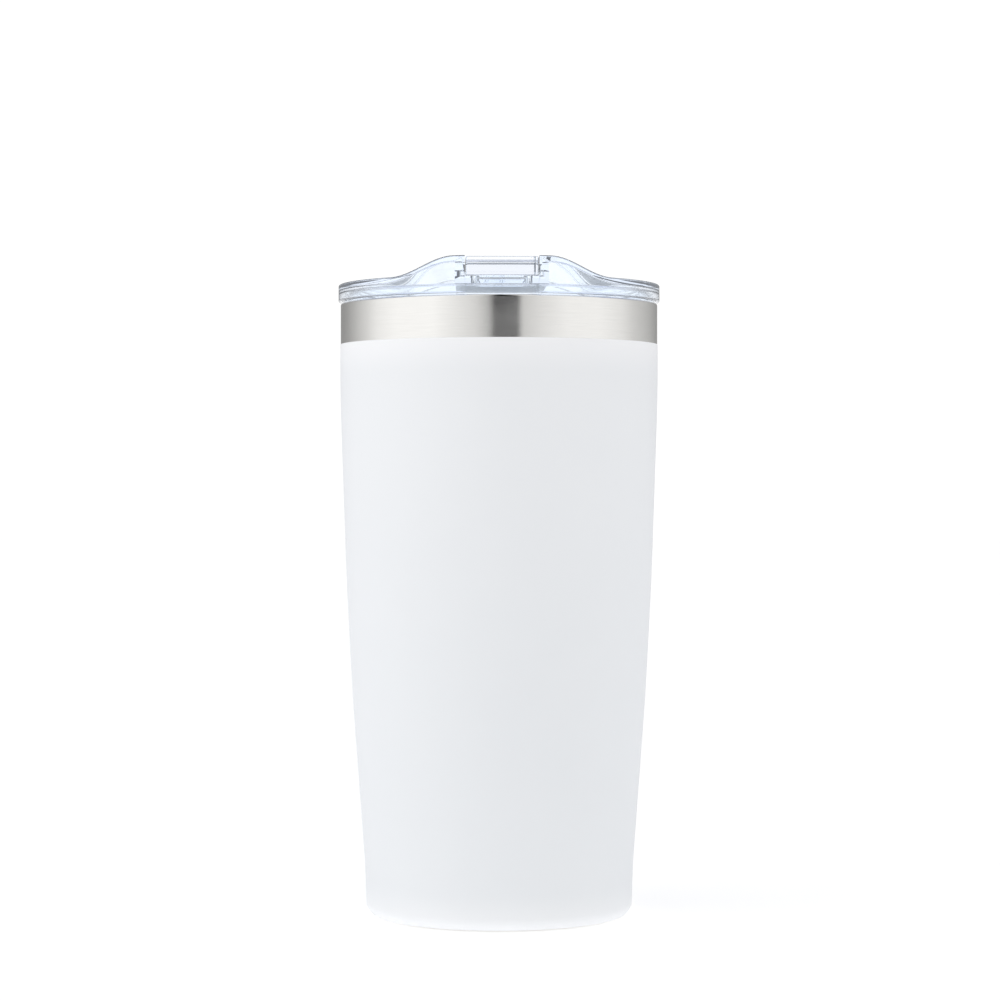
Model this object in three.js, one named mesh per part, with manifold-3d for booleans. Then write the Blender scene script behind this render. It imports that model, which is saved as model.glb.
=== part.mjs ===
// Vacuum-insulated steel tumbler with a clear press-in lid and a sliding drink-hole cover.
// Millimetres, +Z up. The origin is on the floor under the cup's axis; the drinking side faces -Y.
import * as THREE from 'three';
import { mergeVertices } from 'three/addons/utils/BufferGeometryUtils.js';
import Module from 'manifold-3d';

const wasm = await Module();
wasm.setup();

// ---- Cup: driving sizes ----
const bodyHeight = 167.8; // floor to the top of the steel lip
const mouthRadius = 43.5; // bare steel band, outside
const lipWidth = 1.9; // steel lip, from its outside to the bore
const lipRounding = 0.6;
const lipThickness = 0.8;
const bandHeight = 11.2; // bare steel above the powder coat
const straightLength = 24.8; // parallel stretch below the lip

// The flank narrows from the mouth to the foot through these stations. Each has a height above
// the floor, how far it lies inside the mouth radius, and how far its blend reaches up and down.
const upperFlank = { height: 92, inset: 1.72, blend: 9 };
const lowerFlank = { height: 60, inset: 3.38, blend: 9 };
const footTop = { height: 14, inset: 6.8, blend: 4 };
const footInset = 7.24; // at floor level, before the corner is rounded
const straightBlend = 9;

const cornerRadius = 4; // rounded bottom corner
const cornerSteps = 5;
const coatedCornerSteps = 3; // the coat stops here and leaves the steel foot bare
const footRingWidth = 1.4; // flat ring that the cup stands on
const footFlangeHeight = 3.2; // upturned edge inside the foot ring

const shellWall = 0.5;
const coatThickness = 0.12;
const coatGap = 0.02;
const linerWall = 0.4;
const vacuumGap = 2.6;
const weldGap = 0.15; // between the rolled lip and the liner
const mouthDepth = 15; // parallel part of the liner that takes the lid
const neckHeight = 3; // step from the mouth to the vacuum gap
const floorHeight = 10; // inside floor of the cup
const floorCorner = 8;

// ---- Parts in the vacuum space and under the base ----
const foilThickness = 0.1;
const foilGap = 0.3;
const foilTopMargin = 4;
const capWall = 0.6;
const capGap = 0.1;
const capRecess = 1.4; // base cap plate above the floor
const dimpleRadius = 8;
const dimpleDepth = 1.2;
const sealHoleRadius = 1.2;
const sealGap = 0.1;
const sealHeadRadius = 3;
const sealHeadHeight = 0.9;
const sealDome = 0.7; // share of the head's radius and height where its dome turns
const coverInset = 4.9; // from the foot ring
const coverThickness = 0.5;
const coverGap = 0.1;
const coverEdge = 0.15;
const getterRadius = 4.3;
const getterHeight = 2;
const getterGap = 0.3;
const clipWeldGap = 0.1;
const clipThickness = 0.3;
const clipWidth = 6;
const clipFoot = 3.4;

// ---- Lid: driving sizes ----
const seatGap = 0.4; // under the flange; the lid is carried by its gasket
const flangeOverhang = 0.6;
const flangeHeight = 4.7;
const flangeRounding = 0.5;
const lidWall = 2;
const shoulderWall = 1.2; // beside the channel
const humpRise = 5.1; // shoulders above the flange
const shoulderTopFlat = 0.75; // level stretch beyond the channel's wall
const shoulderRun = 17; // how far the S-curve reaches sideways
const humpSteps = 12;
const skirtClearance = 0.6;
const skirtWall = 1.9;
const skirtDepth = 10.4;
const coreDepth = 2.4; // relief groove in the flange's underside
const coreWidth = 1.5;

const gasketWidth = 3.4;
const gasketGrooveDepth = 1;
const gasketDrop = 4; // groove's top below the flange's underside
const gasketGap = 0.1;
const gasketFins = 2;
const gasketFinDepth = 0.45;
const gasketFinRoot = 1.2;
const gasketFinTip = 0.5;

const sliderWidth = 19;
const sliderLength = 42;
const sliderHeight = 5;
const sliderTopGap = 0.1;
const sliderSideGap = 0.25;
const sliderFloorGap = 0.3;
const sliderFrontInset = 3.2; // behind the front of the flange
const sliderCorner = 1.4;
const sliderTravel = 18;
const tongueProud = 0.7;
const tongueHeight = 1.2;
const tongueLength = 28;
const tongueSetback = 4.6;
const tongueGap = 0.3;
const thumbRadius = 22;
const thumbDepth = 0.35;
const thumbFromFront = 27;
const gripRibs = 3;
const gripRibPitch = 2.2;
const gripRibThickness = 0.8;
const gripRibHeight = 0.2;
const gripRibLength = 12;

const channelWall = 2;
const spoutRecess = 0.9; // flange face set back between the channel's walls
const drinkHoleWidth = 15;
const drinkHoleLength = 9;
const drinkHoleCorner = 3;
const drinkHoleInset = 2.4; // from the skirt's inner wall
const ventRadius = 1.5;
const ventInset = 7;

const overcut = 1; // how far a cutter runs past the face that it opens
const roundSegments = 44;
const smallSegments = 24;
const scoopSegments = 96;
const roundingSteps = 3; // chords across the lip's and the flange's rounding
const weldTolerance = 1e-4; // vertices nearer than this are one

// ---- Derived sizes ----
const boreRadius = mouthRadius - lipWidth;
const linerMouthRadius = boreRadius + linerWall;
const bandBottom = bodyHeight - bandHeight;
const mouthBottom = bodyHeight - mouthDepth;
const neckBottom = mouthBottom - neckHeight;

const flangeRadius = mouthRadius + flangeOverhang;
const skirtRadius = boreRadius - skirtClearance;
const skirtBore = skirtRadius - skirtWall;
const humpTop = flangeHeight + humpRise;
const plateUnderside = flangeHeight - lidWall;
const channelFloor = humpTop - sliderTopGap - sliderHeight - sliderFloorGap;
const channelHalf = sliderWidth / 2 + sliderSideGap;
const cavityInnerHalf = channelHalf + channelWall;
const humpTopHalf = cavityInnerHalf + shoulderTopFlat;
const humpFootHalf = humpTopHalf + shoulderRun;
const sliderFront = sliderFrontInset - flangeRadius;

// ---- Materials ----
function finish(color, roughness, metalness) {
  return new THREE.MeshStandardMaterial({ color, roughness, metalness });
}

function clearFinish(color, roughness, opacity) {
  return new THREE.MeshStandardMaterial({ color, roughness, metalness: 0, opacity, transparent: true });
}

const brushedSteel = () => finish(0xc4c4c2, 0.32, 1);
const whitePowder = () => finish(0xeeeff2, 0.55, 0);
const copperFoil = () => finish(0xc98a62, 0.25, 1);
const brazingGlass = () => finish(0x3a3d40, 0.3, 0);
const getterAlloy = () => finish(0x77777a, 0.7, 0.6);
const clearPlastic = () => clearFinish(0xdfe9f7, 0.06, 0.35);
const clearSilicone = () => clearFinish(0xe9edf0, 0.35, 0.7);

// ---- Geometry helpers ----

// A solid of revolution about Z from a counter-clockwise profile of [radius, height] points.
function revolve(profile, segments = roundSegments) {
  const points = profile.map(([radius, height]) => new THREE.Vector2(radius, height));
  return new THREE.LatheGeometry(points, segments).rotateX(Math.PI / 2);
}

// A profile that does not reach the axis is closed on its own first point.
function revolveRing(profile, segments = roundSegments) {
  return revolve([...profile, profile[0]], segments);
}

// Points on an arc, from the start angle to the end angle; angle 0 points outwards.
function arcPoints(centreRadius, centreHeight, radius, startAngle, endAngle, steps) {
  return Array.from({ length: steps + 1 }, (_, i) => {
    const angle = startAngle + ((endAngle - startAngle) * i) / steps;
    return [centreRadius + radius * Math.cos(angle), centreHeight + radius * Math.sin(angle)];
  });
}

// A flat outline in X and Y, pulled up along Z.
function extrudeUp(shape, height, curveSegments = 4) {
  return new THREE.ExtrudeGeometry(shape, { depth: height, bevelEnabled: false, curveSegments });
}

// A flat outline in X and Z, pulled along Y and centred on the XZ plane.
function extrudeAlongY(shape, length) {
  const geometry = new THREE.ExtrudeGeometry(shape, { depth: length, bevelEnabled: false });
  return geometry.translate(0, 0, -length / 2).rotateX(Math.PI / 2);
}

function outline(points) {
  return new THREE.Shape(points.map(([x, y]) => new THREE.Vector2(x, y)));
}

// A rounded rectangle centred in X, from y = 0 to y = length.
function roundedRectangle(width, length, corner) {
  const half = width / 2;
  const shape = new THREE.Shape();
  shape.moveTo(corner - half, 0);
  shape.lineTo(half - corner, 0);
  shape.absarc(half - corner, corner, corner, -Math.PI / 2, 0, false);
  shape.lineTo(half, length - corner);
  shape.absarc(half - corner, length - corner, corner, 0, Math.PI / 2, false);
  shape.lineTo(corner - half, length);
  shape.absarc(corner - half, length - corner, corner, Math.PI / 2, Math.PI, false);
  shape.lineTo(-half, corner);
  shape.absarc(corner - half, corner, corner, Math.PI, (3 * Math.PI) / 2, false);
  return shape;
}

// A box from its lowest corner and its size.
function boxAt(x, y, z, width, length, height) {
  const geometry = new THREE.BoxGeometry(width, length, height);
  return geometry.translate(x + width / 2, y + length / 2, z + height / 2);
}

// The closed solid inside a three.js geometry, with its shared vertices merged.
function solidOf(geometry) {
  const bare = geometry.clone();
  bare.deleteAttribute('normal');
  bare.deleteAttribute('uv');
  const merged = mergeVertices(bare, weldTolerance);
  const corners = merged.index.array;
  const triVerts = [];
  for (let i = 0; i < corners.length; i += 3) {
    const [a, b, c] = [corners[i], corners[i + 1], corners[i + 2]];
    if (a !== b && b !== c && c !== a) {
      triVerts.push(a, b, c);
    }
  }
  const mesh = new wasm.Mesh({
    numProp: 3,
    vertProperties: merged.attributes.position.array,
    triVerts: new Uint32Array(triVerts),
  });
  return new wasm.Manifold(mesh);
}

function geometryOf(solid) {
  const mesh = solid.getMesh();
  const geometry = new THREE.BufferGeometry();
  geometry.setAttribute('position', new THREE.BufferAttribute(mesh.vertProperties, 3));
  geometry.setIndex(new THREE.BufferAttribute(mesh.triVerts, 1));
  geometry.computeVertexNormals();
  return geometry;
}

function cut(solid, geometries) {
  return geometries.reduce((rest, geometry) => rest.subtract(solidOf(geometry)), solid);
}

function named(name, geometry, material) {
  const mesh = new THREE.Mesh(geometry, material);
  mesh.name = name;
  return mesh;
}

// ---- The cup's flank ----

const stations = [
  { height: 0, radius: mouthRadius - footInset, blend: 0 },
  { height: footTop.height, radius: mouthRadius - footTop.inset, blend: footTop.blend },
  { height: lowerFlank.height, radius: mouthRadius - lowerFlank.inset, blend: lowerFlank.blend },
  { height: upperFlank.height, radius: mouthRadius - upperFlank.inset, blend: upperFlank.blend },
  { height: bodyHeight - straightLength, radius: mouthRadius, blend: straightBlend },
  { height: bodyHeight, radius: mouthRadius, blend: 0 },
];

function slopeAbove(i) {
  const [lower, upper] = [stations[i], stations[i + 1]];
  return (upper.radius - lower.radius) / (upper.height - lower.height);
}

// Outside radius of the steel shell at a height: straight between stations, with a parabola
// that is tangent to both sides across each station's blend.
function flankRadius(height) {
  for (let i = 1; i < stations.length - 1; i += 1) {
    const { height: centre, radius, blend } = stations[i];
    const offset = height - centre;
    if (Math.abs(offset) <= blend) {
      const [below, above] = [slopeAbove(i - 1), slopeAbove(i)];
      const bend = (above - below) / (4 * blend);
      return radius + ((below + above) / 2) * offset + bend * (offset * offset + blend * blend);
    }
  }
  const last = stations.length - 2;
  const found = stations.findIndex((station, i) => i < last && height < stations[i + 1].height);
  const i = found < 0 ? last : found;
  return stations[i].radius + slopeAbove(i) * (height - stations[i].height);
}

const flankHeights = stations.slice(1, -1).flatMap(({ height, blend }) => [height - blend, height + blend]);

// The flank between two heights, moved in by an offset, from the bottom up.
function flankPoints(bottom, top, offset) {
  const heights = [bottom, ...flankHeights.filter((height) => height > bottom && height < top), top];
  return heights.map((height) => [flankRadius(height) - offset, height]);
}

const cornerCentre = flankRadius(cornerRadius) - cornerRadius;
const footRingInner = cornerCentre - footRingWidth;

// ---- Cup pieces ----

function outerShell() {
  const innerLip = linerMouthRadius + weldGap;
  const lipCentre = mouthRadius - lipRounding;
  const lipUnderside = bodyHeight - lipThickness;
  const shoulderHeight = lipUnderside - shellWall;
  const outside = [
    ...arcPoints(cornerCentre, cornerRadius, cornerRadius, -Math.PI / 2, 0, cornerSteps),
    ...flankPoints(cornerRadius, bodyHeight - lipRounding, 0).slice(1, -1),
    ...arcPoints(lipCentre, bodyHeight - lipRounding, lipRounding, 0, Math.PI / 2, roundingSteps),
    [innerLip, bodyHeight],
  ];
  const inside = [
    [innerLip, lipUnderside],
    ...flankPoints(cornerRadius, shoulderHeight, shellWall).slice(1).reverse(),
    ...arcPoints(cornerCentre, cornerRadius, cornerRadius - shellWall, 0, -Math.PI / 2, cornerSteps),
    [footRingInner + shellWall, shellWall],
    [footRingInner + shellWall, footFlangeHeight],
    [footRingInner, footFlangeHeight],
    [footRingInner, 0],
  ];
  return revolveRing([...outside, ...inside]);
}

function powderCoat() {
  const startAngle = (-Math.PI / 2) * (coatedCornerSteps / cornerSteps);
  const skin = (offset) => [
    ...arcPoints(cornerCentre, cornerRadius, cornerRadius + offset, startAngle, 0, coatedCornerSteps),
    ...flankPoints(cornerRadius, bandBottom, -offset).slice(1),
  ];
  return revolveRing([...skin(coatGap + coatThickness), ...skin(coatGap).reverse()]);
}

// The liner's side from the top of its floor corner to its lip, moved in by a wall.
function linerSide(inset) {
  const offset = shellWall + vacuumGap + inset;
  return [
    ...flankPoints(floorHeight + floorCorner, neckBottom, offset),
    [linerMouthRadius - inset, mouthBottom],
    [linerMouthRadius - inset, bodyHeight],
  ];
}

function innerLiner() {
  const cornerTop = floorHeight + floorCorner;
  const sideRadius = flankRadius(cornerTop) - shellWall - vacuumGap;
  const centre = sideRadius - linerWall - floorCorner;
  const corner = (radius) => arcPoints(centre, cornerTop, radius, -Math.PI / 2, 0, cornerSteps);
  const outside = [[0, floorHeight - linerWall], ...corner(floorCorner + linerWall)];
  const inside = [[0, floorHeight], ...corner(floorCorner)];
  return revolve([
    ...outside,
    ...linerSide(0).slice(1),
    ...linerSide(linerWall).reverse(),
    ...inside.reverse().slice(1),
  ]);
}

function radiationFoil() {
  const bottom = floorHeight + floorCorner + foilTopMargin;
  const top = neckBottom - foilTopMargin;
  const offset = shellWall + vacuumGap - foilGap;
  const outside = flankPoints(bottom, top, offset - foilThickness);
  return revolveRing([...outside, ...flankPoints(bottom, top, offset).reverse()]);
}

function baseCap() {
  const rim = footRingInner - capGap;
  const plateTop = capRecess + capWall;
  const dimpleEdge = dimpleRadius - dimpleDepth;
  return revolveRing([
    [sealHoleRadius, capRecess + dimpleDepth],
    [dimpleEdge, capRecess + dimpleDepth],
    [dimpleRadius, capRecess],
    [rim, capRecess],
    [rim, footFlangeHeight],
    [rim - capWall, footFlangeHeight],
    [rim - capWall, plateTop],
    [dimpleRadius, plateTop],
    [dimpleEdge, plateTop + dimpleDepth],
    [sealHoleRadius, plateTop + dimpleDepth],
  ]);
}

// A bead of brazing glass: a stem in the pump-out hole and a domed head in the dimple.
function vacuumSeal() {
  const headTop = capRecess + dimpleDepth - sealGap;
  const stem = sealHoleRadius - sealGap;
  const stemTop = capRecess + dimpleDepth + capWall;
  return revolve(
    [
      [0, headTop - sealHeadHeight],
      [sealHeadRadius * sealDome, headTop - sealHeadHeight * sealDome],
      [sealHeadRadius, headTop],
      [stem, headTop],
      [stem, stemTop],
      [0, stemTop],
    ],
    smallSegments,
  );
}

function baseCover() {
  const coverRadius = footRingInner - coverInset;
  const top = capRecess - coverGap;
  const bottom = top - coverThickness;
  return revolve([
    [0, bottom],
    [coverRadius - coverEdge, bottom],
    [coverRadius, bottom + coverEdge],
    [coverRadius, top],
    [0, top],
  ]);
}

const clipTop = floorHeight - linerWall - clipWeldGap;
const clipInnerHalf = getterRadius + getterGap;
const getterTop = clipTop - clipThickness;
const clipSeat = getterTop - getterHeight - getterGap;

function getterPellet() {
  const bottom = getterTop - getterHeight;
  const profile = [[0, bottom], [getterRadius, bottom], [getterRadius, getterTop], [0, getterTop]];
  return revolve(profile, smallSegments);
}

// A hat-shaped strap whose feet are spot-welded to the underside of the liner.
function getterClip() {
  const legOuter = clipInnerHalf + clipThickness;
  const footEnd = legOuter + clipFoot;
  const right = [
    [legOuter, clipSeat - clipThickness],
    [legOuter, clipTop - clipThickness],
    [footEnd, clipTop - clipThickness],
    [footEnd, clipTop],
    [clipInnerHalf, clipTop],
    [clipInnerHalf, clipSeat],
  ];
  const left = right.map(([x, z]) => [-x, z]).reverse();
  return extrudeAlongY(outline([...right, ...left]), clipWidth);
}

// ---- Lid pieces, in the lid's own frame: z = 0 is the flange's underside ----

// Height of the shoulders' top at a distance from the lid's centre plane.
function humpHeight(x) {
  const along = (Math.abs(x) - humpTopHalf) / (humpFootHalf - humpTopHalf);
  const fall = Math.PI * Math.min(Math.max(along, 0), 1);
  return flangeHeight + (humpRise * (1 + Math.cos(fall))) / 2;
}

// The S-curve from the flat top out to the flange, lowered by a wall.
function humpCurve(drop) {
  return Array.from({ length: humpSteps + 1 }, (_, i) => {
    const x = humpTopHalf + ((humpFootHalf - humpTopHalf) * i) / humpSteps;
    return [x, humpHeight(x) - drop];
  });
}

function lidBlank() {
  const reach = flangeRadius + overcut;
  const low = -skirtDepth - overcut;
  const right = [[reach, low], [reach, flangeHeight], ...humpCurve(0).reverse()];
  const left = right.map(([x, z]) => [-x, z]).reverse();
  const ridge = extrudeAlongY(outline([...right, ...left]), 2 * reach);
  const grooveTop = -gasketDrop;
  const grooveBottom = -gasketDrop - gasketWidth;
  const grooveRadius = skirtRadius - gasketGrooveDepth;
  const coreOuter = skirtRadius + coreWidth;
  const edgeCentre = flangeRadius - flangeRounding;
  const round = revolve([
    [0, -skirtDepth],
    [skirtRadius, -skirtDepth],
    [skirtRadius, grooveBottom],
    [grooveRadius, grooveBottom],
    [grooveRadius, grooveTop],
    [skirtRadius, grooveTop],
    [skirtRadius, coreDepth],
    [coreOuter, coreDepth],
    [coreOuter, 0],
    ...arcPoints(edgeCentre, flangeRounding, flangeRounding, -Math.PI / 2, 0, roundingSteps),
    [flangeRadius, humpTop + overcut],
    [0, humpTop + overcut],
  ]);
  return solidOf(ridge).intersect(solidOf(round));
}

// The space inside the skirt, and the hollow under each shoulder, open below.
function lidCavity() {
  const low = -skirtDepth - overcut;
  const bore = (top) => revolve([[0, low], [skirtBore, low], [skirtBore, top], [0, top]]);
  const shoulder = (side) => {
    const curve = humpCurve(shoulderWall).map(([x, z]) => [side * x, z]);
    const points = [
      [side * flangeRadius, low],
      [side * flangeRadius, flangeHeight - shoulderWall],
      ...curve.reverse(),
      [side * cavityInnerHalf, humpTop - shoulderWall],
      [side * cavityInnerHalf, low],
    ];
    return outline(side > 0 ? points : points.reverse());
  };
  const under = solidOf(bore(plateUnderside));
  const shoulders = [1, -1].map((side) => solidOf(extrudeAlongY(shoulder(side), 2 * flangeRadius)));
  const tall = solidOf(bore(humpTop));
  return shoulders.reduce((all, solid) => all.add(solid.intersect(tall)), under);
}

// The slider's channel, open at both ends, with undercuts that hold the slider's tongues down
// and stop it at both ends of its travel.
function channelCutters() {
  const reach = flangeRadius + overcut;
  const channelHeight = humpTop - channelFloor + overcut;
  const channel = boxAt(-channelHalf, -reach, channelFloor, 2 * channelHalf, 2 * reach, channelHeight);
  const undercutHalf = sliderWidth / 2 + tongueProud + tongueGap;
  const undercutHeight = sliderFloorGap + tongueHeight + tongueGap;
  const undercutLength = tongueLength + sliderTravel + 2 * tongueGap;
  const undercutFront = sliderFront + tongueSetback - tongueGap;
  const undercut = boxAt(
    -undercutHalf,
    undercutFront,
    channelFloor,
    2 * undercutHalf,
    undercutLength,
    undercutHeight,
  );
  return [channel, undercut];
}

function holeCutters() {
  const low = plateUnderside - overcut;
  const depth = channelFloor - low + overcut;
  const hole = extrudeUp(roundedRectangle(drinkHoleWidth, drinkHoleLength, drinkHoleCorner), depth);
  const vent = new THREE.CylinderGeometry(ventRadius, ventRadius, depth, smallSegments).rotateX(Math.PI / 2);
  return [
    hole.translate(0, drinkHoleInset - skirtBore, low),
    vent.translate(0, skirtBore - ventInset, low + depth / 2),
  ];
}

// At each end of the channel the flange's round face is set back a little between the walls.
function recessCutter() {
  const reach = flangeRadius + overcut;
  const face = flangeRadius - spoutRecess;
  const high = flangeHeight + overcut;
  const low = -2 * overcut;
  const band = boxAt(-channelHalf, -reach, -overcut, 2 * channelHalf, 2 * reach, flangeHeight + overcut);
  const core = revolve([[0, low], [face, low], [face, high], [0, high]]);
  return solidOf(band).subtract(solidOf(core));
}

function lidBody() {
  const shell = lidBlank().subtract(lidCavity()).subtract(recessCutter());
  return geometryOf(cut(shell, [...channelCutters(), ...holeCutters()]));
}

// A silicone ring with fins that wipe the cup's bore.
function lidGasket() {
  const inner = skirtRadius - gasketGrooveDepth + gasketGap;
  const tip = boreRadius - gasketGap;
  const root = tip - gasketFinDepth;
  const top = -gasketDrop - gasketGap;
  const bottom = -gasketDrop - gasketWidth + gasketGap;
  const pitch = (top - bottom) / gasketFins;
  const fins = Array.from({ length: gasketFins }, (_, i) => bottom + pitch * (i + 0.5));
  const finPoints = fins.flatMap((middle) => [
    [root, middle - gasketFinRoot / 2],
    [tip, middle - gasketFinTip / 2],
    [tip, middle + gasketFinTip / 2],
    [root, middle + gasketFinRoot / 2],
  ]);
  return revolveRing([[inner, bottom], [root, bottom], ...finPoints, [root, top], [inner, top]]);
}

// The slider, in its own frame: y = 0 is its front face and z = 0 its underside.
function slider() {
  const block = solidOf(extrudeUp(roundedRectangle(sliderWidth, sliderLength, sliderCorner), sliderHeight));
  const tongueHalf = sliderWidth / 2 + tongueProud;
  const tongues = boxAt(-tongueHalf, tongueSetback, 0, 2 * tongueHalf, tongueLength, tongueHeight);
  const scoopWidth = sliderWidth + 2 * overcut;
  const scoop = new THREE.CylinderGeometry(thumbRadius, thumbRadius, scoopWidth, scoopSegments)
    .rotateZ(Math.PI / 2)
    .translate(0, thumbFromFront, sliderHeight - thumbDepth + thumbRadius);
  const ribBottom = sliderHeight - thumbDepth - gripRibHeight;
  const ribs = Array.from({ length: gripRibs }, (_, i) => {
    const y = thumbFromFront + (i - (gripRibs - 1) / 2) * gripRibPitch - gripRibThickness / 2;
    return boxAt(-gripRibLength / 2, y, ribBottom, gripRibLength, gripRibThickness, 2 * gripRibHeight);
  });
  const plate = cut(block.add(solidOf(tongues)), [scoop]);
  return geometryOf(ribs.reduce((whole, rib) => whole.add(solidOf(rib)), plate));
}

// ---- Assembly ----
const group = new THREE.Group();

const cup = new THREE.Group();
cup.add(
  named('outer_shell', outerShell(), brushedSteel()),
  named('powder_coat', powderCoat(), whitePowder()),
  named('inner_liner', innerLiner(), brushedSteel()),
  named('radiation_foil', radiationFoil(), copperFoil()),
  named('getter_pellet', getterPellet(), getterAlloy()),
  named('getter_clip', getterClip(), brushedSteel()),
  named('base_cap', baseCap(), brushedSteel()),
  named('vacuum_seal', vacuumSeal(), brazingGlass()),
  named('base_cover', baseCover(), brushedSteel()),
);

const lid = new THREE.Group();
lid.position.z = bodyHeight + seatGap;
const sliderMesh = named('slider', slider(), clearPlastic());
sliderMesh.position.set(0, sliderFront, channelFloor + sliderFloorGap);
lid.add(
  named('lid_body', lidBody(), clearPlastic()),
  named('lid_gasket', lidGasket(), clearSilicone()),
  sliderMesh,
);

group.add(cup, lid);

export default group;
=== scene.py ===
"""Insulated steel tumbler with a clear press-in lid: the visual model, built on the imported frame.

The frame gives every place. Lengths in the dataclasses are millimetres; the meshes are metres.
"""
import logging
import math
from collections.abc import Callable, Iterable
from dataclasses import dataclass, field
from enum import Enum
from functools import cache

import bmesh
import bpy
from mathutils import Matrix, Vector


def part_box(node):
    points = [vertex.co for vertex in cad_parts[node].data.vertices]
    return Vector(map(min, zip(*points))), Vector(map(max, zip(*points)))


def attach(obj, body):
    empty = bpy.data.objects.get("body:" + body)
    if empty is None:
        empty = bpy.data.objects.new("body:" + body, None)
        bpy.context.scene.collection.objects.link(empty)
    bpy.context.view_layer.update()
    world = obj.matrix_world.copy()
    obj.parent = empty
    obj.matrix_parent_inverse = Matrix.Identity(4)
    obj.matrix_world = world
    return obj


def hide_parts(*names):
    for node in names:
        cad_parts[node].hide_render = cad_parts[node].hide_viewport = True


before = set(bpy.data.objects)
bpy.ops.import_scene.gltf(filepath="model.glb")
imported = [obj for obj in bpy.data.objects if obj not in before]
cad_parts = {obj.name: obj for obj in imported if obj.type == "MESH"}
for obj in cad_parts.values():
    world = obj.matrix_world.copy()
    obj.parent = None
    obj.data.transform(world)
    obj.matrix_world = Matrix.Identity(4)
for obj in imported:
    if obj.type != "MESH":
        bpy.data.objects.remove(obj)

MM = 0.001
ROUND_STEPS = 256
WELD = 0.002 * MM  # vertices nearer than this are one
HAIR = 0.0004 * MM  # how far a tool moves before a failed cut is made again
CARVE_TRIES = 6

Point = tuple[float, float]

log = logging.getLogger("tumbler")


# ---------------------------------------------------------------- mesh helpers


def arc(centre: Point, radius: float, start: float, end: float, steps: int = 6) -> list[Point]:
    """Lay points along an arc.

    Args:
        centre: Centre of the arc, across and up, in mm.
        radius: Radius in mm.
        start: First angle in degrees; 0 points outwards and 90 points up.
        end: Last angle in degrees.
        steps: Number of chords.

    Returns:
        The points in order, ends included.
    """
    angles = (math.radians(start + (end - start) * i / steps) for i in range(steps + 1))
    return [(centre[0] + radius * math.cos(a), centre[1] + radius * math.sin(a)) for a in angles]


def line_of_verts(bm: bmesh.types.BMesh, points: Iterable[Vector], closed: bool) -> list:
    """Draw a chain of vertices and edges.

    Args:
        bm: Mesh to draw in.
        points: Places of the vertices, in metres.
        closed: Whether the last vertex is joined to the first.

    Returns:
        The new vertices and edges, ready to spin or extrude.
    """
    verts = [bm.verts.new(point) for point in points]
    ends = verts[1:] + (verts[:1] if closed else [])
    edges = [bm.edges.new(pair) for pair in zip(verts, ends)]
    return [*verts, *edges]


def settle(bm: bmesh.types.BMesh) -> bmesh.types.BMesh:
    """Merge doubled vertices and turn the faces outwards.

    Args:
        bm: Mesh to clean.

    Returns:
        The same mesh.
    """
    bmesh.ops.remove_doubles(bm, verts=bm.verts[:], dist=WELD)
    bmesh.ops.recalc_face_normals(bm, faces=bm.faces[:])
    return bm


def spun(profile: list[Point], closed: bool = True, steps: int = ROUND_STEPS) -> bmesh.types.BMesh:
    """Turn a profile a full circle about the cup's axis.

    Args:
        profile: Radius and height of each point in mm.
        closed: Whether the profile is a loop; an open one starts and ends on the axis.
        steps: Number of steps round the circle.

    Returns:
        A closed solid of revolution.
    """
    bm = bmesh.new()
    points = [Vector((radius * MM, 0.0, height * MM)) for radius, height in profile]
    chain = line_of_verts(bm, points, closed)
    bmesh.ops.spin(
        bm,
        geom=chain,
        cent=(0, 0, 0),
        axis=(0, 0, 1),
        dvec=(0, 0, 0),
        angle=math.tau,
        steps=steps,
        use_merge=True,
    )
    return settle(bm)


def prism(outline: list[Point], start: float, length: float) -> bmesh.types.BMesh:
    """Pull an outline in X and Z along Y.

    Args:
        outline: Corners in X and Z, in mm.
        start: Where the prism starts along Y, in mm.
        length: Its length in mm.

    Returns:
        A closed prism.
    """
    bm = bmesh.new()
    verts = [bm.verts.new((x * MM, start * MM, z * MM)) for x, z in outline]
    face = bm.faces.new(verts)
    pulled = bmesh.ops.extrude_face_region(bm, geom=[face])
    moved = [item for item in pulled["geom"] if isinstance(item, bmesh.types.BMVert)]
    bmesh.ops.translate(bm, verts=moved, vec=(0, length * MM, 0))
    return settle(bm)


def soften(bm: bmesh.types.BMesh, edges: Iterable, width: float, segments: int = 3) -> None:
    """Round some edges.

    Args:
        bm: Mesh that holds the edges.
        edges: Edges to round.
        width: How far the rounding reaches along each face, in mm.
        segments: Number of facets across the rounding.
    """
    bmesh.ops.bevel(
        bm,
        geom=list(edges),
        offset=width * MM,
        offset_type="OFFSET",
        segments=segments,
        profile=0.5,
        affect="EDGES",
        clamp_overlap=True,
        material=-1,
    )


def block(low: Vector, high: Vector, upright: float, rim: float, segments: int = 4) -> bmesh.types.BMesh:
    """Make a block with rounded uprights and a rounded rim.

    Args:
        low: Lowest corner in mm.
        high: Highest corner in mm.
        upright: Radius of the four upright edges in mm.
        rim: Radius of the edges round the top and bottom in mm.
        segments: Facets across each rounding.

    Returns:
        A closed block.
    """
    bm = bmesh.new()
    bmesh.ops.create_cube(bm, size=1.0)
    size = (high - low) * MM
    bmesh.ops.scale(bm, vec=size, verts=bm.verts[:])
    bmesh.ops.translate(bm, vec=(low + high) * (MM / 2), verts=bm.verts[:])
    if upright:
        soften(bm, [edge for edge in bm.edges if is_upright(edge)], upright, segments + 2)
    if rim:
        flat = [face for face in bm.faces if abs(face.normal.z) > 0.99]
        soften(bm, {edge for face in flat for edge in face.edges}, rim, segments)
    return settle(bm)


def is_upright(edge: bmesh.types.BMEdge) -> bool:
    """Say whether an edge runs straight up."""
    run = edge.verts[1].co - edge.verts[0].co
    return abs(run.z) > 0.999 * run.length


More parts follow.
